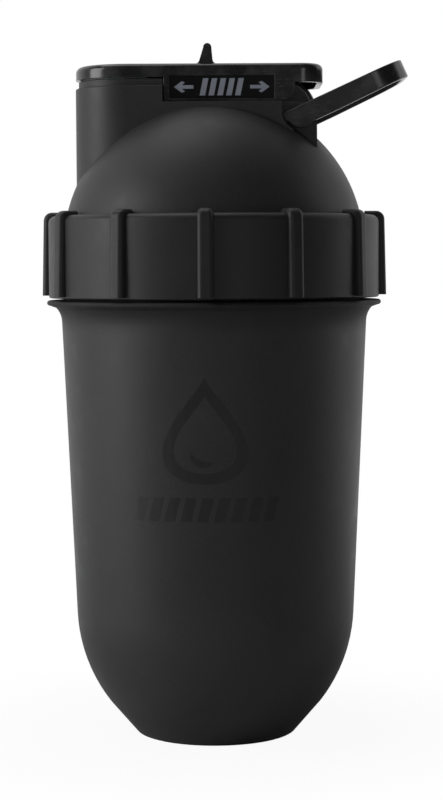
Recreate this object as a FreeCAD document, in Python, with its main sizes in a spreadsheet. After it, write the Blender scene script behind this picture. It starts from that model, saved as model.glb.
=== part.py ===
import FreeCAD, Part
import math
import os

import Sketcher
from FreeCAD import Placement, Rotation, Vector

# Protein shaker bottle: a single-wall tumbler, a domed lid with a raised spout, a ribbed collar
# that screws the lid down, a cap that slides along a rail on the spout, and a swinging carry loop.
#
# Frame: origin at the centre of the base's underside, +Z up along the bottle's axis,
# +X towards the carry loop, the spout at -X. All sizes in millimetres, angles in degrees.

SIZES = [
    # alias, value, what it is
    ("cup_wall", 2.2, "wall of the tumbler"),
    ("base_step", 8.1, "flat base inside the top of the cone above it"),
    ("base_round", 1.2, "rounding of the base's edge"),
    ("floor_thickness", 3.0, "tumbler's floor"),
    ("floor_round", 8.0, "round between the floor and the cone, inside"),
    ("shoulder_step", 9.14, "top of the cone inside the start of the long taper"),
    ("shoulder_height", 9.5, "top of the cone above the base"),
    ("belly_arc", 45.0, "rounded stretch between the cone and the long taper"),
    ("taper_step", 3.66, "start of the long taper inside its end"),
    ("belly_height", 35.0, "where the long taper starts"),
    ("taper_proud", 1.6, "end of the long taper outside the threaded neck"),
    ("taper_drop", 6.0, "end of the long taper below the flange's upper face"),
    ("flange_step", 1.6, "outer end of the hollow round outside the long taper's end"),
    ("flange_rise", 3.9, "height of the hollow round below the flange"),
    ("flange_round", 6.0, "radius of the hollow round below the flange"),
    ("flange_proud", 0.6, "tumbler's flange outside the collar"),
    ("flange_top", 124.7, "upper face of the tumbler's flange"),
    ("flange_edge", 0.7, "half-round on the flange's edge"),
    ("neck_radius", 42.0, "outside of the tumbler's threaded neck"),
    ("neck_wall", 2.0, "wall of the threaded neck"),
    ("neck_height", 17.1, "threaded neck above the flange"),
    ("rim_round", 0.5, "both edges of the rim"),
    ("thread_pitch", 5.0, "screw thread between tumbler and collar"),
    ("thread_turns", 1.8, "length of each thread in turns"),
    ("thread_depth", 1.5, "height of a thread above its wall"),
    ("thread_root", 2.2, "width of a thread at its wall"),
    ("thread_crest", 1.0, "width of a thread at its tip"),
    ("thread_start", 3.9, "first turn of the tumbler's thread above the flange"),
    ("thread_gap", 1.75, "collar's thread below the tumbler's thread, centre to centre"),
    ("gasket_thickness", 1.15, "rim gasket, pressed"),
    ("gasket_gap", 0.05, "play between gasket and rim"),
    ("gasket_inset", 0.2, "gasket inside both edges of the rim"),
    ("dome_inset", 0.8, "lid's sphere inside the edge of the lid's flange"),
    ("dome_wall", 2.2, "wall of the lid's sphere"),
    ("dome_drop", 3.7, "centre of the sphere below the lid's underside"),
    ("lid_flange_reach", 0.3, "lid's flange beyond the crest of the tumbler's thread"),
    ("lid_flange_height", 2.8, "flange that the collar presses down"),
    ("collar_gap", 0.7, "gap between the tumbler's flange and the collar"),
    ("collar_bore_play", 0.3, "collar's bore around the lid's flange, radial"),
    ("collar_lip_play", 0.3, "collar's lip above the lid's flange"),
    ("collar_lip_reach", 1.0, "collar's lip over the lid's flange"),
    ("collar_lip", 2.5, "thickness of the collar's lip"),
    ("collar_wall", 3.1, "collar's wall between its ribs"),
    ("collar_round", 2.0, "collar's upper outer edge"),
    ("collar_edge", 0.5, "collar's lower outer edge"),
    ("rib_count", 12, "grip ribs around the collar"),
    ("rib_phase", -92.5, "direction of the first rib"),
    ("rib_width", 4.3, "grip rib"),
    ("rib_side_round", 1.3, "outer corners of a rib"),
    ("rib_proud_low", 2.1, "rib in front of the collar, at its foot"),
    ("rib_proud_high", 1.6, "rib in front of the collar, at its top"),
    ("rib_proud_top", 1.2, "rib above the collar's top"),
    ("rib_corner", 2.4, "bend of a rib over the collar's top edge"),
    ("rib_inner_end", 0.3, "rib's inner end behind the lip's edge"),
    ("rib_foot", 0.6, "rib's foot above the collar's lower edge"),
    ("spout_ledge", 0.6, "spout block outside the cap"),
    ("spout_inset", 3.9, "rounded end of the spout block inside the sphere's side"),
    ("block_beyond", 0.65, "spout block outside the loop's arms, where it is widest"),
    ("block_wide_from", 5.0, "where the spout block reaches its full width"),
    ("block_inset", 14.0, "+X end of the spout block inside the sphere's side"),
    ("block_corner", 3.0, "upright corners at the +X end"),
    ("block_rise", 2.3, "top of the spout block above the sphere's top"),
    ("block_wall", 2.4, "wall of the spout block"),
    ("lip_inset", 0.9, "raised spout lip inside the block's outline"),
    ("lip_height", 2.0, "raised spout lip"),
    ("ledge_drop", 4.6, "ledge beside the rail, on which the cap's skirts run, below the block's top"),
    ("lip_run", 9.3, "spout lip from the centre of its round to the ledge"),
    ("core_play", 0.4, "block's core below the rail, inside the cap's hooks"),
    ("nose_radius", 9.5, "rounded +X end of the block and the rail"),
    ("spout_edge", 0.4, "rounded edges of the block and the lip"),
    ("room_web", 3.0, "web between the ledge's start and the room under the ledges"),
    ("room_recess_web", 1.5, "web between that room and the recess behind the loop's arm"),
    ("mouth_wall", 2.6, "wall between the spout lip's outline and the mouth"),
    ("mouth_set", 6.5, "straight side of the D-shaped mouth before the ledge's start"),
    ("mouth_corner", 2.0, "corners of the mouth"),
    ("rail_side_play", 0.5, "rail inside the cap's skirts, each side"),
    ("rail_nose_play", 0.2, "rail's rounded end past the end of the block's core"),
    ("rail_corner", 1.4, "rounded sides of the rail's rounded end"),
    ("rail_joint", 0.1, "line between the lip and the rail's end"),
    ("peg_radius", 1.5, "rail's locating pegs"),
    ("peg_length", 2.4, "rail's locating pegs"),
    ("peg_play", 0.05, "peg socket, radial"),
    ("cap_tip_inset", 0.1, "cap's rounded end inside the spout block's"),
    ("cap_half", 15.2, "half width of the cap"),
    ("cap_overhang", 1.85, "cap's +X end beyond the spout block's"),
    ("cap_corner", 6.3, "upright corners at the +X end"),
    ("seal_thickness", 2.0, "mouth seal, from the spout lip to the cap's roof"),
    ("cap_roof", 2.0, "cap's roof"),
    ("cap_wall", 1.6, "cap's skirt"),
    ("cap_edge", 1.7, "cap's rounded top edge"),
    ("skirt_gap", 0.3, "skirt around the spout above the spout lip"),
    ("overhang_drop", 1.2, "lower edge of the skirt at the +X end below the spout lip"),
    ("skirt_play", 0.25, "two side skirts above the ledge"),
    ("skirt_end_play", 0.3, "side skirts' -X end past the ledge's start"),
    ("skirt_reach", 0.5, "side skirts' +X end past the centre of the rail's round, at the lower edge"),
    ("deep_slant", 2.8, "slant of that end"),
    ("deep_round", 4.2, "hollow round at that end"),
    ("deep_round_drop", 0.6, "top of that round below the +X skirt"),
    ("deep_toe", 0.1, "foot of that round above the skirts' lower edge"),
    ("hook_reach", 2.7, "hook below the rail's edge, from the skirt inwards"),
    ("hook_height", 1.7, "hook"),
    ("hook_play", 0.3, "hook below the rail"),
    ("hook_length", 14.2, "hook along the skirt"),
    ("runner_half", 8.5, "runners under the roof, from the middle"),
    ("runner_width", 1.5, "runners under the roof"),
    ("runner_play", 0.05, "runners above the rail"),
    ("runner_left_set", 2.0, "runners' -X end from the ledge's start"),
    ("runner_right_set", 1.5, "runners' +X end before the centre of the rail's round"),
    ("tab_centre", -2.0, "finger tab along X"),
    ("tab_base", 4.2, "finger tab at the roof"),
    ("tab_tip", 2.3, "finger tab at its tip"),
    ("tab_lean", 0.5, "finger tab's tip towards +X"),
    ("tab_height", 5.7, "finger tab above the roof"),
    ("tab_inset", 2.6, "finger tab's ends inside the cap's sides"),
    ("tab_root", 1.3, "round at the finger tab's root"),
    ("panel_left_set", 1.5, "label panel inside the skirt's -X end"),
    ("panel_right_set", 2.8, "label panel inside the skirt's +X end"),
    ("panel_rise", 0.65, "label panel above the skirt's lower edge"),
    ("panel_drop", 3.5, "label panel below the cap's top"),
    ("panel_depth", 0.4, "label panel on the skirt"),
    ("label_play", 0.1, "label inside its panel, all round"),
    ("label_sunk", 0.05, "label below the skirt's face"),
    ("seal_play", 0.1, "mouth seal above the spout lip"),
    ("seal_inset", 0.3, "mouth seal inside the cap's skirt"),
    ("seal_overlap", 1.9, "mouth seal past the mouth's straight side"),
    ("pivot_inset", 4.4, "carry loop's pivot before the spout block's +X end"),
    ("pivot_drop", 7.4, "carry loop's pivot below the spout block's top"),
    ("pivot_clear", 6.0, "carry loop's pivot above the sphere beside it, at least"),
    ("loop_raise", 24.7, "carry loop above horizontal at rest"),
    ("loop_length", 31.8, "pivot to the loop's outer end"),
    ("loop_play", 0.35, "loop's arms outside the cap's skirts"),
    ("loop_band", 1.9, "thickness of the loop's band"),
    ("loop_above", 1.6, "band above the pivot"),
    ("loop_below", 4.0, "band below the pivot"),
    ("loop_tip_rise", 0.4, "lower edge of the band rises to the tip"),
    ("loop_corner", 10.0, "outer corners of the loop"),
    ("loop_edge", 0.4, "rounded edges of the band"),
    ("eye_radius", 4.5, "rounded end of each arm"),
    ("eye_tab", 5.2, "stop tab behind the eye"),
    ("eye_tab_below", 0.8, "stop tab below the pivot"),
    ("stud_radius", 2.0, "pivot studs"),
    ("stud_length", 2.7, "pivot studs"),
    ("stud_play", 0.05, "pivot socket, radial"),
    ("pocket_play", 0.3, "recess behind the loop's arms"),
    ("pocket_radius", 5.5, "recess around the eye"),
    ("pocket_edge", 2.3, "recess's upright edge, from the pivot towards -X"),
]

# how far a cutting profile reaches past its solid, how deep an added one starts in its wall, and a
# distance that counts as none
OVERCUT = 1.0
SUNK = 0.2
TINY = 1e-3

doc = FreeCAD.newDocument("shaker")
sheet = doc.addObject("Spreadsheet::Sheet", "Sizes")


class Size:
    """A length that knows its value and its expression in terms of the sheet's cells."""

    def __init__(self, value, text=None):
        self.value = float(value)
        self.text = text if text is not None else repr(float(value))

    def _join(self, other, sign, value):
        return Size(value, f"({self.text} {sign} {other.text})")

    def __add__(self, other):
        other = size_of(other)
        return self._join(other, "+", self.value + other.value)

    def __sub__(self, other):
        other = size_of(other)
        return self._join(other, "-", self.value - other.value)

    def __mul__(self, other):
        other = size_of(other)
        return self._join(other, "*", self.value * other.value)

    def __truediv__(self, other):
        other = size_of(other)
        return self._join(other, "/", self.value / other.value)

    def __radd__(self, other):
        return size_of(other) + self

    def __rsub__(self, other):
        return size_of(other) - self

    def __rmul__(self, other):
        return size_of(other) * self

    def __neg__(self):
        return Size(-self.value, f"(0 - {self.text})")


def size_of(thing):
    return thing if isinstance(thing, Size) else Size(thing)


def root(size):
    """Square root of a size."""
    return Size(math.sqrt(size.value), f"sqrt({size.text})")


def beside(radius, offset):
    """Half chord of a circle at a distance from its centre."""
    return root(radius * radius - offset * offset)


def larger(one, other):
    """The larger of two sizes."""
    return Size(max(one.value, other.value), f"max({one.text}; {other.text})")


def from_middle(along, across):
    """Distance of a place in plan from the bottle's axis."""
    return root(along * along + across * across)


class Cells:
    """The sheet's cells by alias, as sizes."""

    def __init__(self, rows):
        for row, (alias, value, note) in enumerate(rows, 1):
            sheet.set(f"A{row}", alias)
            sheet.set(f"B{row}", str(value))
            sheet.set(f"C{row}", note)
            sheet.setAlias(f"B{row}", alias)
            setattr(self, alias, Size(value, f"Sizes.{alias}"))


cell = Cells(SIZES)
doc.recompute()


# ---- helpers -------------------------------------------------------------------------------------

def bind(thing, prop, size):
    """Tie a property to the sheet."""
    thing.setExpression(prop, size_of(size).text)


def new_body(label):
    body = doc.addObject("PartDesign::Body", label)
    body.Label = label
    return body


def origin_plane(body, role):
    return next(item for item in body.Origin.OriginFeatures if item.Role == role)


def arc_centre(start, end, radius):
    """Centre of the short arc from start to end, counter-clockwise where the radius is positive."""
    across = (end[0] - start[0], end[1] - start[1])
    chord = math.hypot(*across)
    reach = math.sqrt(max(radius * radius - chord * chord / 4, 0.0))
    side = 1 if radius > 0 else -1
    return ((start[0] + end[0]) / 2 - side * reach * across[1] / chord,
            (start[1] + end[1]) / 2 + side * reach * across[0] / chord)


def bulge(radius, clockwise=False):
    """Marks a corner whose next edge is an arc."""
    return (size_of(radius), clockwise)


def place_point(sketch, edge, point, across, up):
    """Tie a point of an edge to its distances from the sketch's origin."""
    for axis, kind, size in ((-2, "DistanceX", across), (-1, "DistanceY", up)):
        if size.value == 0:
            sketch.addConstraint(Sketcher.Constraint("PointOnObject", edge, point, axis))
            continue
        number = sketch.addConstraint(Sketcher.Constraint(kind, -1, 1, edge, point, size.value))
        sketch.setExpression(f"Constraints[{number}]", size.text)


def outline(sketch, corners):
    """Closed outline. A corner is (across, up), or (across, up, bulge) where an arc follows it."""
    places = [(size_of(corner[0]), size_of(corner[1])) for corner in corners]
    ends = []
    for index, corner in enumerate(corners):
        here = tuple(size.value for size in places[index])
        there = tuple(size.value for size in places[(index + 1) % len(places)])
        if len(corner) == 2:
            line = Part.LineSegment(Vector(*here, 0), Vector(*there, 0))
            ends.append((sketch.addGeometry(line), 1, 2))
            continue
        radius, clockwise = corner[2]
        middle = arc_centre(here, there, -radius.value if clockwise else radius.value)
        first, last = (there, here) if clockwise else (here, there)
        angles = [math.atan2(point[1] - middle[1], point[0] - middle[0]) for point in (first, last)]
        circle = Part.Circle(Vector(*middle, 0), Vector(0, 0, 1), radius.value)
        arc = sketch.addGeometry(Part.ArcOfCircle(circle, *angles))
        ends.append((arc, 2, 1) if clockwise else (arc, 1, 2))
        number = sketch.addConstraint(Sketcher.Constraint("Radius", arc, radius.value))
        sketch.setExpression(f"Constraints[{number}]", radius.text)
    for index, (edge, start, _) in enumerate(ends):
        before, _, finish = ends[index - 1]
        sketch.addConstraint(Sketcher.Constraint("Coincident", before, finish, edge, start))
        place_point(sketch, edge, start, *places[index])


def new_sketch(body, name, role, *outlines, offset=None, turned=None):
    """Sketch on one of the body's origin planes, moved along its normal or turned about its own upright."""
    sketch = body.newObject("Sketcher::SketchObject", name)
    sketch.AttachmentSupport = [(origin_plane(body, role), "")]
    sketch.MapMode = "FlatFace"
    if turned is not None:
        sketch.AttachmentOffset = Placement(Vector(), Rotation(Vector(0, 1, 0), turned.value))
    if offset is not None:
        sketch.AttachmentOffset = Placement(Vector(0, 0, size_of(offset).value), Rotation())
        bind(sketch, "AttachmentOffset.Base.z", offset)
    for corners in outlines:
        outline(sketch, corners)
    return sketch


def new_circles(body, name, role, centres, radius, offset=None):
    """Sketch of equal circles."""
    sketch = new_sketch(body, name, role, offset=offset)
    radius = size_of(radius)
    for across, up in centres:
        across, up = size_of(across), size_of(up)
        middle = Vector(across.value, up.value, 0)
        ring = sketch.addGeometry(Part.Circle(middle, Vector(0, 0, 1), radius.value))
        number = sketch.addConstraint(Sketcher.Constraint("Radius", ring, radius.value))
        sketch.setExpression(f"Constraints[{number}]", radius.text)
        place_point(sketch, ring, 3, across, up)
    return sketch


def turn(body, name, sketch, kind="Revolution"):
    """Full turn of a profile about the upright axis: a Revolution or a Groove."""
    feature = body.newObject(f"PartDesign::{kind}", name)
    feature.Profile = (sketch, [""])
    feature.ReferenceAxis = (sketch, ["V_Axis"])
    feature.Angle = 360
    return feature


def extrude(body, name, sketch, length, kind="Pad", both=False, backwards=False):
    """Pad along the sketch's normal, or Pocket against it; backwards turns either round."""
    feature = body.newObject(f"PartDesign::{kind}", name)
    feature.Profile = (sketch, [""])
    feature.SideType = "Symmetric" if both else "One side"
    feature.Reversed = backwards
    bind(feature, "Length", length)
    return feature


def thread(body, name, wall, tip, start):
    """Helical thread from its wall to its tip, whose first turn is centred on the start height."""
    buried = 0.3
    slope = (cell.thread_root - cell.thread_crest) / 2 / cell.thread_depth
    way = 1 if tip.value > wall.value else -1
    deep = cell.thread_root / 2 + slope * buried
    inner = wall - way * buried
    corners = [(inner, start - deep), (tip, start - cell.thread_crest / 2),
               (tip, start + cell.thread_crest / 2), (inner, start + deep)]
    sketch = new_sketch(body, name + "Profile", "XZ_Plane", corners)
    helix = body.newObject("PartDesign::AdditiveHelix", name)
    helix.Profile = (sketch, [""])
    helix.ReferenceAxis = (sketch, ["V_Axis"])
    helix.Mode = "pitch-turns-angle"
    bind(helix, "Pitch", cell.thread_pitch)
    bind(helix, "Turns", cell.thread_turns)
    return helix


def mirror(body, name, features):
    """The same features on the other side of the bottle's middle plane."""
    feature = body.newObject("PartDesign::Mirrored", name)
    feature.Originals = features
    feature.MirrorPlane = (origin_plane(body, "XZ_Plane"), [""])
    body.Tip = feature
    return feature


def soften(body, name, base, radius, wanted):
    """Fillet on the edges that the test picks."""
    doc.recompute()
    names = [f"Edge{number}" for number, edge in enumerate(base.Shape.Edges, 1) if wanted(edge)]
    if not names:
        raise RuntimeError(f"{name}: no edge to round")
    feature = body.newObject("PartDesign::Fillet", name)
    feature.Base = (base, names)
    bind(feature, "Radius", radius)
    return feature


def at_height(edge, height):
    """True where the whole edge lies at one height."""
    box = edge.BoundBox
    return abs(box.ZMin - height.value) < TINY and abs(box.ZMax - height.value) < TINY


# ---- sizes that follow from the sheet's --------------------------------------------------------------

# radii, from the threaded neck outwards and down the tumbler
neck_bore = cell.neck_radius - cell.neck_wall
lid_flange_radius = cell.neck_radius + cell.thread_depth + cell.lid_flange_reach
collar_bore = lid_flange_radius + cell.collar_bore_play
collar_radius = collar_bore + cell.collar_wall
collar_lip_radius = lid_flange_radius - cell.collar_lip_reach
flange_radius = collar_radius + cell.flange_proud
taper_radius = cell.neck_radius + cell.taper_proud
flange_root = taper_radius + cell.flange_step
belly_radius = taper_radius - cell.taper_step
shoulder_radius = belly_radius - cell.shoulder_step
base_radius = shoulder_radius - cell.base_step
dome_radius = lid_flange_radius - cell.dome_inset

# half widths, from the cap outwards to the block and inwards to its core
cap_inner = cell.cap_half - cell.cap_wall
rail_half = cap_inner - cell.rail_side_play
core_half = cap_inner - cell.hook_reach - cell.core_play
loop_inner = cell.cap_half + cell.loop_play
loop_outer = loop_inner + cell.loop_band
pocket_half = loop_inner - cell.pocket_play
block_half = loop_outer + cell.block_beyond
spout_round = cell.cap_half + cell.spout_ledge
tab_half = cell.cap_half - cell.tab_inset

# places along X; those named left or set before the middle lie towards -X
spout_centre = dome_radius - cell.spout_inset - spout_round
cap_left = spout_centre + spout_round - cell.cap_tip_inset
cap_round_centre = cell.cap_half - cap_left
ledge_left = spout_centre - cell.lip_run
mouth_right = ledge_left + cell.mouth_set
seal_right = mouth_right - cell.seal_overlap
block_right = dome_radius - cell.block_inset
cap_right = block_right + cell.cap_overhang
nose_centre = block_right - cell.nose_radius
pivot_along = block_right - cell.pivot_inset
deep_left = ledge_left - cell.skirt_end_play
deep_right = nose_centre + cell.skirt_reach
panel_left = cell.panel_left_set - deep_left
panel_right = deep_right - cell.panel_right_set
rail_quarter = (nose_centre + ledge_left) / 4
pegs = [(rail_quarter - ledge_left, 0), (nose_centre - rail_quarter, 0)]

# heights, from the tumbler's flange upwards
taper_height = cell.flange_top - cell.taper_drop
rim_height = cell.flange_top + cell.neck_height
lid_bottom = rim_height + cell.gasket_gap + cell.gasket_thickness
lid_flange_top = lid_bottom + cell.lid_flange_height
sphere_centre = lid_bottom - cell.dome_drop
buried_start = sphere_centre + dome_radius / 4
sphere_beside_pivot = sphere_centre + beside(dome_radius, from_middle(pivot_along, loop_inner))
block_top = larger(sphere_centre + dome_radius + cell.block_rise,
                   sphere_beside_pivot + cell.pivot_clear + cell.pivot_drop)
ledge_height = block_top - cell.ledge_drop
lip_top = block_top + cell.lip_height
seal_bottom = lip_top + cell.seal_play
cap_roof_under = lip_top + cell.seal_thickness + cell.seal_play
cap_top = cap_roof_under + cell.cap_roof
shallow_bottom = lip_top + cell.skirt_gap
overhang_bottom = lip_top - cell.overhang_drop
deep_bottom = ledge_height + cell.skirt_play
pivot_height = block_top - cell.pivot_drop


# ---- tumbler -----------------------------------------------------------------------------------------

def shoulder_normal():
    """Outward normal of the rounded stretch where it starts, as (across, up)."""
    start = (shoulder_radius.value, cell.shoulder_height.value)
    end = (belly_radius.value, cell.belly_height.value)
    radius = cell.belly_arc.value
    middle = arc_centre(start, end, radius)
    return (start[0] - middle[0]) / radius, (start[1] - middle[1]) / radius


def tumbler_cup():
    body = new_body("tumbler_cup")
    out, up = shoulder_normal()
    inner_shoulder = (shoulder_radius - out * cell.cup_wall, cell.shoulder_height - up * cell.cup_wall)
    cone_run = (shoulder_radius - base_radius) / cell.shoulder_height
    floor_radius = inner_shoulder[0] - (inner_shoulder[1] - cell.floor_thickness) * cone_run
    flange_lip = flange_radius - cell.flange_edge
    profile = [
        (0, 0),
        (base_radius, 0),
        (shoulder_radius, cell.shoulder_height, bulge(cell.belly_arc)),
        (belly_radius, cell.belly_height),
        (taper_radius, taper_height, bulge(cell.flange_round, clockwise=True)),
        (flange_root, taper_height + cell.flange_rise),
        (flange_lip, cell.flange_top - 2 * cell.flange_edge, bulge(cell.flange_edge)),
        (flange_radius, cell.flange_top - cell.flange_edge, bulge(cell.flange_edge)),
        (flange_lip, cell.flange_top),
        (cell.neck_radius, cell.flange_top),
        (cell.neck_radius, rim_height),
        (neck_bore, rim_height),
        (neck_bore, cell.flange_top),
        (taper_radius - cell.cup_wall, taper_height),
        (belly_radius - cell.cup_wall, cell.belly_height, bulge(cell.belly_arc - cell.cup_wall, True)),
        inner_shoulder,
        (floor_radius, cell.floor_thickness),
        (0, cell.floor_thickness),
    ]
    wall = turn(body, "CupWall", new_sketch(body, "CupProfile", "XZ_Plane", profile))
    base = soften(body, "BaseRound", wall, cell.base_round, lambda edge: at_height(edge, Size(0)))
    floor = soften(body, "FloorRound", base, cell.floor_round,
                   lambda edge: at_height(edge, cell.floor_thickness))
    soften(body, "RimRound", floor, cell.rim_round, lambda edge: at_height(edge, rim_height))
    doc.recompute()
    thread(body, "CupThread", cell.neck_radius, cell.neck_radius + cell.thread_depth,
           cell.flange_top + cell.thread_start)
    return body


def rim_gasket():
    body = new_body("rim_gasket")
    bottom = rim_height + cell.gasket_gap
    inside, outside = neck_bore + cell.gasket_inset, cell.neck_radius - cell.gasket_inset
    profile = [(inside, bottom), (outside, bottom), (outside, lid_bottom), (inside, lid_bottom)]
    turn(body, "GasketRing", new_sketch(body, "GasketProfile", "XZ_Plane", profile))
    return body


# ---- lid ---------------------------------------------------------------------------------------------

def rounded_spout(radius, right, corner=None):
    """Plan of the spout's rounded end, closed by a straight side at right."""
    left = -spout_centre
    if corner is None:
        side = [(right, -radius), (right, radius)]
    else:
        side = [(right - corner, -radius, bulge(corner)), (right, corner - radius),
                (right, radius - corner, bulge(corner)), (right - corner, radius)]
    return [(left, -radius), *side, (left, radius, bulge(radius)), (left - radius, 0, bulge(radius))]


def add_block(body):
    """The spout block, with a recess on each side for the loop's arm."""
    right, half, corner = block_right, block_half, cell.block_corner
    block = [(cell.block_wide_from, -half), (right - corner, -half, bulge(corner)),
             (right, corner - half), (right, half - corner, bulge(corner)),
             (right - corner, half), (cell.block_wide_from, half),
             (-spout_centre, spout_round, bulge(spout_round)),
             (-spout_centre - spout_round, 0, bulge(spout_round)), (-spout_centre, -spout_round)]
    plan = new_sketch(body, "BlockPlan", "XY_Plane", block, offset=buried_start)
    extrude(body, "Block", plan, block_top - buried_start)
    far, low, high = right + OVERCUT, buried_start - OVERCUT, block_top + OVERCUT
    edge, back = pivot_along - cell.pocket_edge, pivot_along - cell.pocket_radius
    drop = beside(cell.pocket_radius, cell.pocket_edge)
    recess = [(edge, low), (far, low), (far, high), (back, high),
              (back, pivot_height, bulge(cell.pocket_radius)), (edge, pivot_height - drop)]
    side = new_sketch(body, "RecessSide", "XZ_Plane", recess, offset=pocket_half)
    depth = half + OVERCUT - pocket_half
    recess_cut = extrude(body, "ArmRecess", side, depth, kind="Pocket", backwards=True)
    mirror(body, "OtherRecess", [recess_cut])


def add_dome(body):
    """The sphere, the flange at its foot and the raised spout lip."""
    sphere_foot = beside(dome_radius, lid_flange_top - sphere_centre)
    dome = [(0, lid_bottom), (lid_flange_radius, lid_bottom), (lid_flange_radius, lid_flange_top),
            (sphere_foot, lid_flange_top, bulge(dome_radius)), (0, sphere_centre + dome_radius)]
    turn(body, "Dome", new_sketch(body, "DomeProfile", "XZ_Plane", dome))
    lip = rounded_spout(spout_round - cell.lip_inset, -ledge_left)
    plan = new_sketch(body, "LipPlan", "XY_Plane", lip, offset=block_top)
    extrude(body, "SpoutLip", plan, cell.lip_height)


def cut_ledges(body):
    """Ledges beside the core, on which the cap's skirts run, and the core's rounded +X end."""
    far, wide = block_right + OVERCUT, block_half + OVERCUT
    ledge = [(-ledge_left, -wide), (far, -wide), (far, wide), (-ledge_left, wide),
             (-ledge_left, core_half), (nose_centre, core_half),
             (nose_centre, -core_half), (-ledge_left, -core_half)]
    plan = new_sketch(body, "LedgePlan", "XY_Plane", ledge, offset=ledge_height)
    extrude(body, "Ledges", plan, lip_top - ledge_height + OVERCUT, kind="Pocket", backwards=True)
    nose_height = lip_top - cell.nose_radius
    above_ledge = ledge_height + OVERCUT
    rounded_to = nose_centre + beside(cell.nose_radius, above_ledge - nose_height)
    waste = [(block_right, nose_height), (far, nose_height), (far, above_ledge),
             (rounded_to, above_ledge, bulge(cell.nose_radius, clockwise=True))]
    side = new_sketch(body, "NoseSide", "XZ_Plane", waste)
    extrude(body, "NoseRound", side, 2 * wide, kind="Pocket", both=True)


def cut_hollow(body):
    """Hollow from below: the sphere, the room under the ledges, and the mouth."""
    inner = dome_radius - cell.dome_wall
    floor = lid_bottom - OVERCUT
    hollow = [(0, floor), (beside(inner, floor - sphere_centre), floor, bulge(inner)),
              (0, sphere_centre + inner)]
    turn(body, "DomeHollow", new_sketch(body, "HollowProfile", "XZ_Plane", hollow), kind="Groove")
    wall = cell.block_wall
    room_left = ledge_left + cell.room_web
    room_right = pivot_along - cell.pocket_radius - cell.room_recess_web
    narrow, full = spout_round - wall, block_half - wall
    room = [(-room_left, -narrow), (cell.block_wide_from, -full), (room_right, -full),
            (room_right, full), (cell.block_wide_from, full), (-room_left, narrow)]
    plan = new_sketch(body, "RoomPlan", "XY_Plane", room, offset=buried_start)
    extrude(body, "BlockHollow", plan, ledge_height - wall - buried_start, kind="Pocket", backwards=True)
    mouth = rounded_spout(spout_round - cell.lip_inset - cell.mouth_wall, -mouth_right, cell.mouth_corner)
    plan = new_sketch(body, "MouthPlan", "XY_Plane", mouth, offset=buried_start)
    extrude(body, "Mouth", plan, lip_top - buried_start + OVERCUT, kind="Pocket", backwards=True)


def cut_sockets(body):
    """Sockets for the rail's pegs and for the loop's studs."""
    plan = new_circles(body, "PegSocketPlan", "XY_Plane", pegs, cell.peg_radius + cell.peg_play,
                       offset=block_top)
    extrude(body, "PegSockets", plan, cell.peg_length + cell.peg_play, kind="Pocket")
    side = new_circles(body, "StudSocketSide", "XZ_Plane", [(pivot_along, pivot_height)],
                       cell.stud_radius + cell.stud_play, offset=pocket_half)
    depth = cell.stud_length - cell.pocket_play + 2 * cell.stud_play
    socket_cut = extrude(body, "StudSocket", side, depth, kind="Pocket")
    return mirror(body, "OtherSocket", [socket_cut])


def dome_lid():
    body = new_body("dome_lid")
    add_block(body)
    add_dome(body)
    cut_ledges(body)
    cut_hollow(body)
    sockets = cut_sockets(body)

    def on_block_outline(edge):
        """The block's outer top edge around the spout."""
        outside = spout_round.value - cell.spout_edge.value
        points = [vertex.Point for vertex in edge.Vertexes]
        reach = [math.hypot(min(point.x + spout_centre.value, 0.0), point.y) for point in points]
        return at_height(edge, block_top) and min(reach) > outside

    def on_lip(edge):
        """Both edges of the raised lip, but for the one against the rail."""
        return at_height(edge, lip_top) and edge.BoundBox.XMin < -ledge_left.value - TINY

    block_edge = soften(body, "BlockEdge", sockets, cell.spout_edge, on_block_outline)
    soften(body, "LipEdge", block_edge, cell.spout_edge, on_lip)
    return body


def slide_rail():
    body = new_body("slide_rail")
    left = cell.rail_joint - ledge_left
    behind_core = nose_centre + cell.rail_nose_play
    nose_end = nose_centre + beside(cell.nose_radius, ledge_height - lip_top + cell.nose_radius)
    side = [(left, block_top), (behind_core, block_top), (behind_core, ledge_height),
            (nose_end, ledge_height, bulge(cell.nose_radius)), (nose_centre, lip_top), (left, lip_top)]
    extrude(body, "Rail", new_sketch(body, "RailSide", "XZ_Plane", side), 2 * rail_half, both=True)
    plan = new_circles(body, "PegPlan", "XY_Plane", pegs, cell.peg_radius, offset=block_top - cell.peg_length)
    peg_pad = extrude(body, "Pegs", plan, cell.peg_length + cell.lip_height / 2)

    def on_nose(edge):
        """The curved edges of the rounded end, one on each side."""
        box = edge.BoundBox
        on_side = abs(abs(edge.CenterOfMass.y) - rail_half.value) < TINY
        return on_side and box.XMin > nose_centre.value - TINY and min(box.XLength, box.ZLength) > 1

    soften(body, "NoseSideRound", peg_pad, cell.rail_corner, on_nose)
    return body


# ---- collar ------------------------------------------------------------------------------------------

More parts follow.
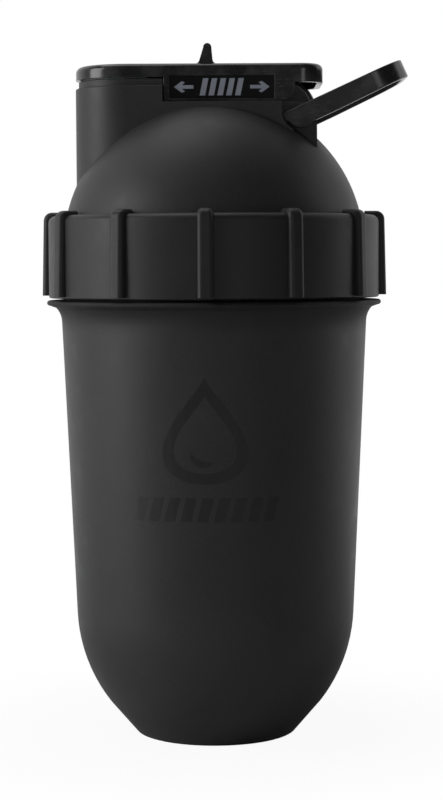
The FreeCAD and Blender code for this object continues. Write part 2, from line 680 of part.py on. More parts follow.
def screw_collar():
    body = new_body("screw_collar")
    bottom = cell.flange_top + cell.collar_gap
    lip_under = lid_flange_top + cell.collar_lip_play
    top = lip_under + cell.collar_lip
    # a grip rib, bent over the collar's top edge, and its copies around the axis
    foot = bottom + cell.rib_foot
    rib_top = top + cell.rib_proud_top
    buried = collar_bore + cell.collar_edge
    under = top - cell.collar_lip / 2
    low, high = collar_radius + cell.rib_proud_low, collar_radius + cell.rib_proud_high
    inner_end = collar_lip_radius + cell.rib_inner_end
    rib = [(buried, foot), (low, foot), (high, rib_top - cell.rib_corner, bulge(cell.rib_corner)),
           (high - cell.rib_corner, rib_top), (inner_end, rib_top), (inner_end, under), (buried, under)]
    sketch = new_sketch(body, "RibSide", "XZ_Plane", rib, turned=cell.rib_phase)
    pad = extrude(body, "Rib", sketch, cell.rib_width, both=True)
    straighten = Rotation(Vector(0, 0, 1), -cell.rib_phase.value)

    def outer_corner(edge):
        """The rib's long edges in front and above, seen in the rib's own direction."""
        middle = straighten.multVec(edge.CenterOfMass)
        along = abs(abs(middle.y) - cell.rib_width.value / 2) < TINY
        in_front = middle.x > collar_radius.value and middle.z > foot.value + TINY
        return along and (in_front or middle.z > rib_top.value - TINY)

    soften(body, "RibRounds", pad, cell.rib_side_round, outer_corner)
    pattern = body.newObject("PartDesign::PolarPattern", "Ribs")
    pattern.TransformMode = "Whole shape"
    pattern.Axis = (sketch, ["V_Axis"])
    pattern.Angle = 360
    bind(pattern, "Occurrences", cell.rib_count)
    body.Tip = pattern
    ring = [(collar_bore, bottom), (collar_radius - cell.collar_edge, bottom, bulge(cell.collar_edge)),
            (collar_radius, bottom + cell.collar_edge),
            (collar_radius, top - cell.collar_round, bulge(cell.collar_round)),
            (collar_radius - cell.collar_round, top), (collar_lip_radius, top),
            (collar_lip_radius, lip_under), (collar_bore, lip_under)]
    turn(body, "Ring", new_sketch(body, "RingProfile", "XZ_Plane", ring))
    doc.recompute()
    start = cell.flange_top + cell.thread_start - cell.thread_gap
    thread(body, "CollarThread", collar_bore, collar_bore - cell.thread_depth, start)
    return body


# ---- cap ---------------------------------------------------------------------------------------------

def cap_plan(inset):
    """Plan of the cap, drawn in by an inset: round towards the spout, square-ended at the other."""
    half = cell.cap_half - inset
    left = cap_round_centre
    right = cap_right - inset
    corner = cell.cap_corner - inset
    return [(left, -half), (right - corner, -half, bulge(corner)), (right, corner - half),
            (right, half - corner, bulge(corner)), (right - corner, half),
            (left, half, bulge(half)), (left - half, 0, bulge(half))]


def add_crown(body):
    """The hollow cap, whose skirt is shallow around the spout and at the +X end, deep between them."""
    bottom, half = deep_bottom, cell.cap_half
    plan = new_sketch(body, "CrownPlan", "XY_Plane", cap_plan(Size(0)), offset=bottom)
    shell = extrude(body, "Crown", plan, cap_top - bottom)
    soften(body, "CrownEdge", shell, cell.cap_edge, lambda edge: at_height(edge, cap_top))
    far_left, far_right, under = -cap_left - OVERCUT, cap_right + OVERCUT, bottom - OVERCUT
    slant_top = deep_right + cell.deep_slant
    around_spout = [(far_left, under), (-deep_left, under), (-deep_left, shallow_bottom),
                    (far_left, shallow_bottom)]
    beyond_skirt = [(deep_right, under), (far_right, under), (far_right, overhang_bottom),
                    (slant_top, overhang_bottom),
                    (slant_top, overhang_bottom - cell.deep_round_drop, bulge(cell.deep_round, True)),
                    (deep_right, bottom + cell.deep_toe)]
    side = new_sketch(body, "SkirtSide", "XZ_Plane", around_spout, beyond_skirt)
    extrude(body, "SkirtLine", side, 2 * (half + OVERCUT), kind="Pocket", both=True)
    plan = new_sketch(body, "InsidePlan", "XY_Plane", cap_plan(cell.cap_wall), offset=under)
    extrude(body, "Inside", plan, cap_roof_under - under, kind="Pocket", backwards=True)


def add_guides(body):
    """Hooks under the rail's edges, runners on its top and the panels in the skirts."""
    hook_bottom = block_top - cell.hook_play - cell.hook_height
    hook_right = cell.hook_length - deep_left
    hook = [(-deep_left, cap_inner - cell.hook_reach), (hook_right, cap_inner - cell.hook_reach),
            (hook_right, cap_inner + SUNK), (-deep_left, cap_inner + SUNK)]
    plan = new_sketch(body, "HookPlan", "XY_Plane", hook, offset=hook_bottom)
    hooks = extrude(body, "Hook", plan, cell.hook_height)
    runner_bottom = lip_top + cell.runner_play
    left, right = cell.runner_left_set - ledge_left, nose_centre - cell.runner_right_set
    near, far = cell.runner_half - cell.runner_width / 2, cell.runner_half + cell.runner_width / 2
    runner = [(left, near), (right, near), (right, far), (left, far)]
    plan = new_sketch(body, "RunnerPlan", "XY_Plane", runner, offset=runner_bottom)
    runners = extrude(body, "Runner", plan, cap_roof_under + SUNK - runner_bottom)
    side = new_sketch(body, "PanelSide", "XZ_Plane", panel_outline(Size(0)),
                      offset=cell.panel_depth - cell.cap_half)
    panels = extrude(body, "Panel", side, 2 * cell.panel_depth, kind="Pocket")
    mirror(body, "CapOtherSide", [hooks, runners, panels])


def slide_cap():
    body = new_body("slide_cap")
    add_crown(body)
    add_guides(body)
    # finger tab
    foot, tip = cap_top - SUNK, cap_top + cell.tab_height
    root_left, root_right = cell.tab_centre - cell.tab_base / 2, cell.tab_centre + cell.tab_base / 2
    tip_left = cell.tab_centre + cell.tab_lean - cell.tab_tip / 2
    tip_right = tip_left + cell.tab_tip
    rounded_from = tip - cell.tab_tip / 2
    tab = [(root_left, foot), (root_right, foot), (tip_right, rounded_from, bulge(cell.tab_tip / 2)),
           ((tip_left + tip_right) / 2, tip, bulge(cell.tab_tip / 2)), (tip_left, rounded_from)]
    side = new_sketch(body, "TabSide", "XZ_Plane", tab)
    tab_pad = extrude(body, "FingerTab", side, 2 * tab_half, both=True)

    def at_root(edge):
        """The tab's two long edges on the roof."""
        near = abs(edge.CenterOfMass.x - cell.tab_centre.value) < cell.tab_base.value
        return at_height(edge, cap_top) and near and edge.BoundBox.YLength > tab_half.value

    soften(body, "TabRoot", tab_pad, cell.tab_root, at_root)
    return body


def mouth_seal():
    body = new_body("mouth_seal")
    radius = cap_inner - cell.seal_inset
    left = cap_round_centre
    plan = [(left, -radius), (-seal_right, -radius), (-seal_right, radius),
            (left, radius, bulge(radius)), (left - radius, 0, bulge(radius))]
    sketch = new_sketch(body, "SealPlan", "XY_Plane", plan, offset=seal_bottom)
    extrude(body, "SealPad", sketch, cell.seal_thickness)
    return body


def panel_outline(play):
    """The label panel on the skirt, drawn in by a play."""
    left, right = panel_left + play, panel_right - play
    bottom, top = deep_bottom + cell.panel_rise + play, cap_top - cell.panel_drop - play
    return [(left, bottom), (right, bottom), (right, top), (left, top)]


def label_film(label, side):
    """Film in the skirt's recess, on the side whose Y is negative (-1) or positive (+1)."""
    body = new_body(label)
    recess = cell.cap_half - cell.panel_depth
    offset = recess if side < 0 else -recess
    sketch = new_sketch(body, f"{body.Name}Side", "XZ_Plane", panel_outline(cell.label_play), offset=offset)
    extrude(body, f"{body.Name}Film", sketch, cell.panel_depth - cell.label_sunk, backwards=side > 0)
    return body


# ---- carry loop --------------------------------------------------------------------------------------

def add_band(body):
    """The flat band, whose lower edge rises towards the tip."""
    length, corner, band = cell.loop_length, cell.loop_corner, cell.loop_band
    turned, inside = length - corner, corner - band
    plan = [(0, -loop_outer), (turned, -loop_outer, bulge(corner)), (length, corner - loop_outer),
            (length, loop_outer - corner, bulge(corner)), (turned, loop_outer), (0, loop_outer),
            (0, loop_inner), (turned, loop_inner, bulge(inside, clockwise=True)),
            (length - band, loop_outer - corner),
            (length - band, corner - loop_outer, bulge(inside, clockwise=True)),
            (turned, -loop_inner), (0, -loop_inner)]
    sketch = new_sketch(body, "BandPlan", "XY_Plane", plan, offset=-cell.loop_below)
    extrude(body, "Band", sketch, cell.loop_above + cell.loop_below)
    low, far = -cell.loop_below - OVERCUT, length + OVERCUT
    rise = [(corner, low), (far, low), (far, cell.loop_tip_rise - cell.loop_below),
            (length, cell.loop_tip_rise - cell.loop_below), (corner, -cell.loop_below)]
    side = new_sketch(body, "LowerSide", "XZ_Plane", rise)
    extrude(body, "LowerEdge", side, 2 * (loop_outer + OVERCUT), kind="Pocket", both=True)


def add_ends(body):
    """An eye with its stop tab and its stud at the end of each arm."""
    tab_foot = -beside(cell.eye_radius, cell.eye_tab_below)
    eye_end = beside(cell.eye_radius, cell.loop_below)
    eye = [(-cell.eye_tab, cell.loop_above), (-cell.eye_tab, -cell.eye_tab_below),
           (tab_foot, -cell.eye_tab_below, bulge(cell.eye_radius)), (eye_end, -cell.loop_below),
           (eye_end, cell.loop_above)]
    side = new_sketch(body, "EyeSide", "XZ_Plane", eye, offset=loop_inner)
    eye_pad = extrude(body, "Eye", side, cell.loop_band)
    stud = new_circles(body, "StudSide", "XZ_Plane", [(0, 0)], cell.stud_radius,
                       offset=loop_inner - cell.stud_length)
    stud_pad = extrude(body, "Stud", stud, cell.stud_length + cell.loop_band / 2)
    return mirror(body, "OtherArm", [eye_pad, stud_pad])


def on_outer_face(point):
    """True for a point on the band's outer face."""
    corner, outside = cell.loop_corner.value, loop_outer.value
    across = abs(point.y) - (outside - corner)
    along = point.x - (cell.loop_length.value - corner)
    if across > 0 and along > 0:
        return abs(math.hypot(across, along) - corner) < TINY
    return abs(abs(point.y) - outside) < TINY or abs(point.x - cell.loop_length.value) < TINY


def on_band_edge(edge):
    """The long outer edges of the band, above and below."""
    box = edge.BoundBox
    on_side = abs(abs(edge.CenterOfMass.y) - loop_outer.value) < TINY and box.XMin > -TINY
    past_arms = box.XMax > (cell.loop_length - cell.loop_corner).value + TINY
    on_tip = past_arms and box.ZLength < 2 and all(on_outer_face(vertex.Point) for vertex in edge.Vertexes)
    above, below = at_height(edge, cell.loop_above), box.ZMax < -1
    return edge.Length > 4 and (on_side or on_tip) and (above or below)


def carry_loop():
    """Drawn flat with the pivot at its origin, then raised and put on the pivot."""
    body = new_body("carry_loop")
    add_band(body)
    ends = add_ends(body)
    soften(body, "BandEdges", ends, cell.loop_edge, on_band_edge)
    body.Placement = Placement(Vector(pivot_along.value, 0, pivot_height.value),
                               Rotation(Vector(0, 1, 0), -cell.loop_raise.value))
    bind(body, "Placement.Base.x", pivot_along)
    bind(body, "Placement.Base.z", pivot_height)
    return body


# ---- build, check and write --------------------------------------------------------------------------

parts = [tumbler_cup(), rim_gasket(), dome_lid(), slide_rail(), screw_collar(), slide_cap(), mouth_seal(),
         label_film("label_front", -1), label_film("label_back", 1), carry_loop()]
doc.recompute()

for thing in doc.Objects:
    if "Invalid" in thing.State or "Error" in thing.State:
        raise RuntimeError(f"{thing.Label} failed: {thing.State}")
for part in parts:
    shape = part.Shape
    if shape.isNull() or not shape.isValid() or len(shape.Solids) != 1:
        raise RuntimeError(f"{part.Label}: bad shape")

os.makedirs("parts", exist_ok=True)
for part in parts:
    part.Shape.exportStep(f"parts/{part.Label}.step")
    box = part.Shape.BoundBox
    print(f"{part.Label}: {part.Shape.Volume / 1000:.2f} cm3, x {box.XMin:.2f}..{box.XMax:.2f},",
          f"y {box.YMin:.2f}..{box.YMax:.2f}, z {box.ZMin:.2f}..{box.ZMax:.2f}")
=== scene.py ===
"""Looks of the protein shaker bottle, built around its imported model.

The bottle is a matte tumbler with a domed lid, a ribbed screw collar, a glossy cap that slides
along a rail on the spout block, and a carry loop. Lengths are in metres, +Z is up, +X points to
the carry loop and the printed side faces -Y.
"""

import logging
import math
from dataclasses import dataclass, field
from enum import Enum
from typing import Any, Callable

import bmesh
import bpy
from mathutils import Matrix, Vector
from mathutils.bvhtree import BVHTree


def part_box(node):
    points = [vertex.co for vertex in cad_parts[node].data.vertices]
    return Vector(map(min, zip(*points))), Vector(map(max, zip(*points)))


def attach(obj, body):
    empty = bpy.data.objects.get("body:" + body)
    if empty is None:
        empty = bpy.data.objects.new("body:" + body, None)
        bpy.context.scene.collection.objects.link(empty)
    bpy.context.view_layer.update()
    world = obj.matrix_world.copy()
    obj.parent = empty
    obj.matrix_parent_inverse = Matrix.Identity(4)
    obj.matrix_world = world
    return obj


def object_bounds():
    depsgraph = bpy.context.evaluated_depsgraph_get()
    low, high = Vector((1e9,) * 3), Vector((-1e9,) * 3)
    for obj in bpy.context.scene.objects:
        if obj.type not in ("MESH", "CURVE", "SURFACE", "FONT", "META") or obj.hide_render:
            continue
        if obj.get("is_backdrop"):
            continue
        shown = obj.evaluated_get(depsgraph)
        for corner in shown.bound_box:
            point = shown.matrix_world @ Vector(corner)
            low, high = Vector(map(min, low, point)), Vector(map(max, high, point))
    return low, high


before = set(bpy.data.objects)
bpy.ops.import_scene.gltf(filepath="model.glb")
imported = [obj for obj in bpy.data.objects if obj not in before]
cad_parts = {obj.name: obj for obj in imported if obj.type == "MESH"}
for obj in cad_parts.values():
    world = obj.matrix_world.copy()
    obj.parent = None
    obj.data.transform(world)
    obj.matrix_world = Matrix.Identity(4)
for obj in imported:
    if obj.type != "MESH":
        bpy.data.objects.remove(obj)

MM = 0.001
Colour = tuple[float, float, float]
Flat = tuple[float, float]
Place = Callable[[float, float, bool], Vector]

log = logging.getLogger("shaker")


# ---- shader expressions ------------------------------------------------------------------------------

class Signal:
    """A node's output, with arithmetic that adds Math nodes to its recipe."""

    def __init__(self, recipe: "Recipe", socket: bpy.types.NodeSocket) -> None:
        """Wrap a socket.

        Args:
            recipe: The node tree that the socket belongs to.
            socket: The output socket.
        """
        self.recipe = recipe
        self.socket = socket

    def _math(self, operation: str, first: Any, second: Any) -> "Signal":
        """Add a Math node.

        Args:
            operation: The node's operation.
            first: First operand, a number or a signal.
            second: Second operand, a number or a signal.

        Returns:
            The node's result.
        """
        return self.recipe.node("ShaderNodeMath", {"operation": operation}, {0: first, 1: second})

    def __add__(self, other: Any) -> "Signal":
        """This plus another."""
        return self._math("ADD", self, other)

    def __radd__(self, other: Any) -> "Signal":
        """Another plus this."""
        return self._math("ADD", other, self)

    def __sub__(self, other: Any) -> "Signal":
        """This minus another."""
        return self._math("SUBTRACT", self, other)

    def __rsub__(self, other: Any) -> "Signal":
        """Another minus this."""
        return self._math("SUBTRACT", other, self)

    def __mul__(self, other: Any) -> "Signal":
        """This times another."""
        return self._math("MULTIPLY", self, other)

    def either(self, other: Any) -> "Signal":
        """The larger of this and another."""
        return self._math("MAXIMUM", self, other)

    def smooth(self, low: float, high: float) -> "Signal":
        """A smooth step from 0 at low to 1 at high.

        Args:
            low: Value where the step starts.
            high: Value where the step ends.

        Returns:
            The step as a signal from 0 to 1.
        """
        return self.recipe.node("ShaderNodeMapRange", {"interpolation_type": "SMOOTHSTEP"},
                                {"Value": self, "From Min": low, "From Max": high})


class Recipe:
    """A node tree that is written as expressions."""

    def __init__(self, tree: bpy.types.NodeTree) -> None:
        """Start from an empty tree.

        Args:
            tree: The node tree of a material or a world.
        """
        self.tree = tree
        tree.nodes.clear()

    def node(self, kind: str, settings: dict[str, Any], inputs: dict[Any, Any],
             output: Any = 0) -> Signal:
        """Add a node.

        Args:
            kind: The node's type.
            settings: Properties of the node, set before its sockets.
            inputs: Values or signals by the socket's name or number.
            output: Name or number of the output that is returned.

        Returns:
            One of the node's outputs.
        """
        made = self.tree.nodes.new(kind)
        for name, value in settings.items():
            setattr(made, name, value)
        for name, value in inputs.items():
            if isinstance(value, Signal):
                self.tree.links.new(value.socket, made.inputs[name])
            else:
                made.inputs[name].default_value = value
        return Signal(self, made.outputs[output] if made.outputs else None)

    def place(self) -> Signal:
        """The point on the piece, in metres."""
        return self.node("ShaderNodeTexCoord", {}, {}, "Object")

    def along(self, vector: Signal, axis: int) -> Signal:
        """One part of a vector.

        Args:
            vector: The vector.
            axis: 0 for X, 1 for Y or 2 for Z.

        Returns:
            The part.
        """
        return self.node("ShaderNodeSeparateXYZ", {}, {0: vector}, axis)

    def ray(self, kind: str) -> Signal:
        """1 for rays of a kind, such as Camera, Glossy or Transmission, and 0 for others."""
        return self.node("ShaderNodeLightPath", {}, {}, f"Is {kind} Ray")

    def stretched(self, vector: Signal, scale: Colour) -> Signal:
        """A vector scaled along each axis.

        Args:
            vector: The vector.
            scale: Factor along X, Y and Z.

        Returns:
            The scaled vector.
        """
        return self.node("ShaderNodeVectorMath", {"operation": "MULTIPLY"}, {0: vector, 1: scale})

    def noise(self, size: float, detail: float = 2.0, vector: Signal | None = None) -> Signal:
        """Noise around 0.5.

        Args:
            size: Width of one patch of noise, in metres.
            detail: Octaves of finer noise.
            vector: Place that the noise is read at, the point on the piece by default.

        Returns:
            The noise.
        """
        return self.node("ShaderNodeTexNoise", {}, {"Vector": vector or self.place(), "Scale": 1 / size,
                                                    "Detail": detail})

    def mixed(self, factor: Any, first: Colour, second: Colour) -> Signal:
        """A colour between two.

        Args:
            factor: 0 for the first colour, 1 for the second.
            first: First colour, linear.
            second: Second colour, linear.

        Returns:
            The colour.
        """
        return self.node("ShaderNodeMix", {"data_type": "RGBA"},
                         {0: factor, 6: (*first, 1), 7: (*second, 1)}, 2)

    def bump(self, height: Signal, depth: float, under: Signal | None = None) -> Signal:
        """A normal from a height.

        Args:
            height: Height from 0 to 1.
            depth: How deep a height of 1 is, in metres.
            under: Normal that the bump lies on.

        Returns:
            The normal.
        """
        inputs: dict[str, Any] = {"Height": height, "Distance": depth, "Strength": 1.0}
        if under is not None:
            inputs["Normal"] = under
        return self.node("ShaderNodeBump", {}, inputs)

    def edge(self, radius: float) -> Signal:
        """The normal with every sharp edge rounded by a radius, in metres."""
        return self.node("ShaderNodeBevel", {"samples": 6}, {"Radius": radius})

    def shade(self, **inputs: Any) -> None:
        """Put a Principled surface out.

        Args:
            inputs: Values or signals by socket name, with _ for a space.
        """
        named = {name.replace("_", " "): value for name, value in inputs.items()}
        surface = self.node("ShaderNodeBsdfPrincipled", {}, named)
        self.node("ShaderNodeOutputMaterial", {}, {"Surface": surface})


def scaled(colour: Colour, factor: float) -> Colour:
    """A colour times a factor."""
    return tuple(factor * part for part in colour)


def lifted(colour: Colour, step: float) -> Colour:
    """A colour with a step added to each part."""
    return tuple(part + step for part in colour)


def new_material(name: str) -> tuple[bpy.types.Material, Recipe]:
    """An empty material.

    Args:
        name: The material's name.

    Returns:
        The material and its recipe.
    """
    material = bpy.data.materials.new(name)
    material.use_nodes = True
    return material, Recipe(material.node_tree)


# ---- finishes ----------------------------------------------------------------------------------------

@dataclass(frozen=True)
class SoftTouch:
    """Rubbery matte coating: fine grain, faint cloudiness, handling marks and painted shade up top."""

    name: str
    colour: Colour = (0.029, 0.029, 0.030)
    roughness: float = 0.50
    grain: float = 0.30 * MM
    grain_depth: float = 0.012 * MM
    cloud: float = 22 * MM
    cloud_depth: float = 0.02 * MM
    cloud_sheen: float = 0.10
    rub_sheen: float = 0.05
    darkest: float = 0.4
    lightest: float = 1.6
    specular: float = 0.36
    # Painted shade: between the two heights below, the colour darkens by the share and roughness rises.
    painted_shade_from: float = 1.0
    painted_shade_to: float = 2.0
    painted_shade_share: float = 0.85
    painted_shade_roughness: float = 0.22

    def make(self) -> bpy.types.Material:
        """Build the material.

        Returns:
            The material.
        """
        material, recipe = new_material(self.name)
        grain = recipe.noise(self.grain, 3.0)
        cloud = recipe.noise(self.cloud, 4.0)
        rubbed = recipe.noise(self.cloud / 3, 5.0).smooth(0.52, 0.72)
        # Painted shade: the colour darkens over a band of heights; on the tumbler it stands for the
        # collar's shadow.
        painted_shade = recipe.along(recipe.place(), 2).smooth(self.painted_shade_from, self.painted_shade_to)
        shade = (grain * 0.9 + cloud * 0.5 - 0.2) * (1 - painted_shade * self.painted_shade_share)
        recipe.shade(
            Base_Color=recipe.mixed(shade, scaled(self.colour, self.darkest),
                                    scaled(self.colour, self.lightest)),
            Roughness=(self.roughness + (cloud - 0.5) * self.cloud_sheen - rubbed * self.rub_sheen
                       + painted_shade * self.painted_shade_roughness),
            Normal=recipe.bump(grain, self.grain_depth, recipe.bump(cloud, self.cloud_depth)),
            Specular_IOR_Level=self.specular,
        )
        return material


@dataclass(frozen=True)
class MouldedPlastic:
    """Black moulded plastic with flow waviness, painted reflection patches, fine scuffs and rounded
    edges.
    """

    name: str
    colour: Colour = (0.010, 0.010, 0.0105)
    roughness: float = 0.20
    wave: float = 7 * MM
    wave_depth: float = 0.05 * MM
    pebble: float = 0.5 * MM
    pebble_depth: float = 0.004 * MM
    # Cloud is the size of the painted reflection patches; the step lightens them and the scuffs.
    cloud: float = 6 * MM
    wear_and_reflection_step: float = 0.05
    edge: float = 0.22 * MM
    scuffs: float = 0.25
    scuff_patch: float = 9 * MM
    scuff_run: Colour = (250, 2600, 2600)

    def make(self) -> bpy.types.Material:
        """Build the material.

        Returns:
            The material.
        """
        material, recipe = new_material(self.name)
        wave = recipe.noise(self.wave, 1.0)
        pebble = recipe.noise(self.pebble, 2.0)
        streaks = recipe.noise(1.0, 3.0, recipe.stretched(recipe.place(), self.scuff_run))
        scuffed = streaks.smooth(0.60, 0.72) * recipe.noise(self.scuff_patch, 3.0).smooth(0.42, 0.62)
        # Painted reflection: lighter patches in the colour stand in for a glossy surface's mottled
        # reflections.
        painted_reflection_patches = recipe.noise(self.cloud, 3.0).smooth(0.38, 0.68)
        recipe.shade(
            Base_Color=recipe.mixed(scuffed * self.scuffs + painted_reflection_patches * 0.5 + pebble * 0.2,
                                    self.colour, lifted(self.colour, self.wear_and_reflection_step)),
            Roughness=self.roughness + scuffed * 0.16 + (wave - 0.5) * 0.12 + (pebble - 0.5) * 0.06,
            Normal=recipe.bump(pebble, self.pebble_depth,
                               recipe.bump(wave, self.wave_depth, recipe.edge(self.edge))),
        )
        return material


@dataclass(frozen=True)
class LabelFilm:
    """Thin black film with a faint hammered skin."""

    name: str
    colour: Colour = (0.0045, 0.0045, 0.005)
    roughness: float = 0.34
    skin: float = 0.6 * MM
    skin_depth: float = 0.006 * MM
    dust: float = 0.25 * MM
    dust_step: float = 0.02
    specular: float = 0.18

    def make(self) -> bpy.types.Material:
        """Build the material.

        Returns:
            The material.
        """
        material, recipe = new_material(self.name)
        skin = recipe.noise(self.skin, 2.0)
        dust = recipe.noise(self.dust, 2.0).smooth(0.68, 0.78)
        recipe.shade(
            Base_Color=recipe.mixed(dust * 0.5, self.colour, lifted(self.colour, self.dust_step)),
            Roughness=self.roughness + (skin - 0.5) * 0.15 + dust * 0.1,
            Normal=recipe.bump(skin, self.skin_depth),
            Specular_IOR_Level=self.specular,
        )
        return material


@dataclass(frozen=True)
class Ink:
    """Screen-printed ink: nearly even, with the mesh's faint unevenness."""

    name: str
    colour: Colour
    roughness: float
    mottle: float = 0.18
    speckle: float = 0.35 * MM
    speckle_depth: float = 0.004 * MM
    blotch: float = 2.4 * MM
    specular: float = 0.5

    def make(self) -> bpy.types.Material:
        """Build the material.

        Returns:
            The material.
        """
        material, recipe = new_material(self.name)
        speckle = recipe.noise(self.speckle, 3.0)
        blotch = recipe.noise(self.blotch, 3.0)
        recipe.shade(
            Base_Color=recipe.mixed(speckle * 0.6 + blotch * 0.4, scaled(self.colour, 1 - self.mottle),
                                    scaled(self.colour, 1 + self.mottle)),
            Roughness=self.roughness + (blotch - 0.5) * 0.12,
            Normal=recipe.bump(speckle, self.speckle_depth),
            Specular_IOR_Level=self.specular,
        )
        return material


@dataclass(frozen=True)
class Silicone:
    """Pale translucent silicone with moulding haze."""

    name: str
    colour: Colour = (0.52, 0.54, 0.55)
    roughness: float = 0.42
    haze: float = 3 * MM
    haze_depth: float = 0.02 * MM
    lint: float = 0.3 * MM
    deepest: float = 0.8
    scatter: float = 0.25
    scatter_depth: float = 1.5 * MM

    def make(self) -> bpy.types.Material:
        """Build the material.

        Returns:
            The material.
        """
        material, recipe = new_material(self.name)
        haze = recipe.noise(self.haze, 3.0)
        lint = recipe.noise(self.lint, 2.0).smooth(0.66, 0.76)
        recipe.shade(
            Base_Color=recipe.mixed(haze - lint * 0.3, scaled(self.colour, self.deepest), self.colour),
            Roughness=self.roughness + (haze - 0.5) * 0.2 + lint * 0.1,
            Normal=recipe.bump(haze, self.haze_depth),
            Subsurface_Weight=self.scatter,
            Subsurface_Scale=self.scatter_depth,
        )
        return material


# ---- printed figures ---------------------------------------------------------------------------------

@dataclass(frozen=True)
class Patch:
    """A flat figure as a grid: a function from (along, across), each 0 to 1, to a flat place."""

    shape: Callable[[float, float], Flat]
    along: int
    across: int
    closed: bool = False

    def build(self, name: str, place: Place) -> bpy.types.Object:
        """Make the figure as a thin closed solid.

        Args:
            name: The piece's name.
            place: Gives the point of a flat place, on the figure's face or on its back.

        Returns:
            The piece.
        """
        columns = self.along if self.closed else self.along + 1
        mesh = bmesh.new()
        sides = []
        for face in (True, False):
            grid = []
            for column in range(columns):
                flats = [self.shape(column / self.along, row / self.across)
                         for row in range(self.across + 1)]
                grid.append([mesh.verts.new(place(*flat, face)) for flat in flats])
            sides.append(grid)
        front, back = sides
        for here in range(self.along):
            there = (here + 1) % columns
            for row in range(self.across):
                mesh.faces.new((front[here][row], front[there][row],
                                front[there][row + 1], front[here][row + 1]))
                mesh.faces.new((back[here][row + 1], back[there][row + 1],
                                back[there][row], back[here][row]))
            for row in (0, self.across):
                mesh.faces.new((front[here][row], back[here][row], back[there][row], front[there][row]))
        if not self.closed:
            for column in (0, columns - 1):
                for row in range(self.across):
                    mesh.faces.new((front[column][row], front[column][row + 1],
                                    back[column][row + 1], back[column][row]))
        return finished_piece(name, mesh)


def finished_piece(name: str, mesh: bmesh.types.BMesh) -> bpy.types.Object:
    """Turn an edited mesh into an object of the scene.

    Args:
        name: The object's name.
        mesh: The edited mesh, which is freed.

    Returns:
        The object, with its faces turned outwards.
    """
    bmesh.ops.recalc_face_normals(mesh, faces=mesh.faces)
    data = bpy.data.meshes.new(name)
    mesh.to_mesh(data)
    mesh.free()
    piece = bpy.data.objects.new(name, data)
    bpy.context.scene.collection.objects.link(piece)
    return piece


def prism(name: str, outline: list[Flat], place: Place) -> bpy.types.Object:
    """Make a straight-sided figure as a thin closed solid.

    Args:
        name: The piece's name.
        outline: The figure's corners in order.
        place: Gives the point of a flat place, on the figure's face or on its back.

    Returns:
        The piece.
    """
    mesh = bmesh.new()
    front = [mesh.verts.new(place(*corner, True)) for corner in outline]
    back = [mesh.verts.new(place(*corner, False)) for corner in outline]
    mesh.faces.new(front)
    mesh.faces.new(reversed(back))
    for index in range(len(outline)):
        before = index - 1
        mesh.faces.new((front[before], back[before], back[index], front[index]))
    return finished_piece(name, mesh)


def slanted_bar(centre: Flat, width: float, height: float, slant: float) -> list[Flat]:
    """Corners of a slanted bar.

    Args:
        centre: Middle of the bar.
        width: Width of the bar.
        height: Height of the bar.
        slant: How far its top leans to the right of its foot.

    Returns:
        The four corners.
    """
    across, up = centre
    half, rise, lean = width / 2, height / 2, slant / 2
    return [(across - half - lean, up - rise), (across + half - lean, up - rise),
            (across + half + lean, up + rise), (across - half + lean, up + rise)]


def droplet_edge(turn: float, width: float, height: float, widest: float = 0.82) -> Flat:
    """A point on a drop's outline, whose tip points up.

    Args:
        turn: 0 to 1 around the drop, from its tip.
        width: Width of the drop.
        height: Height of the drop.
        widest: Largest reach of the curve before it is scaled to the width.

    Returns:
        The point, from the drop's middle.
    """
    angle = 2 * math.pi * turn
    bulge = math.sin(angle / 2) ** 1.5
    return width / 2 * math.sin(angle) * bulge / widest, height / 2 * math.cos(angle)


# ---- the bottle --------------------------------------------------------------------------------------

class Side(Enum):
    """Which skirt of the cap a label sits on."""

    FRONT = -1
    BACK = 1


def dress(node: str, material: bpy.types.Material) -> None:
    """Give a CAD node its finish.

    Args:
        node: The node's name.
        material: The finish.
    """
    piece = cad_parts[node]
    if not piece.material_slots:
        piece.data.materials.append(material)
    for slot in piece.material_slots:
        slot.material = material
    log.info("%s: %s", node, material.name)


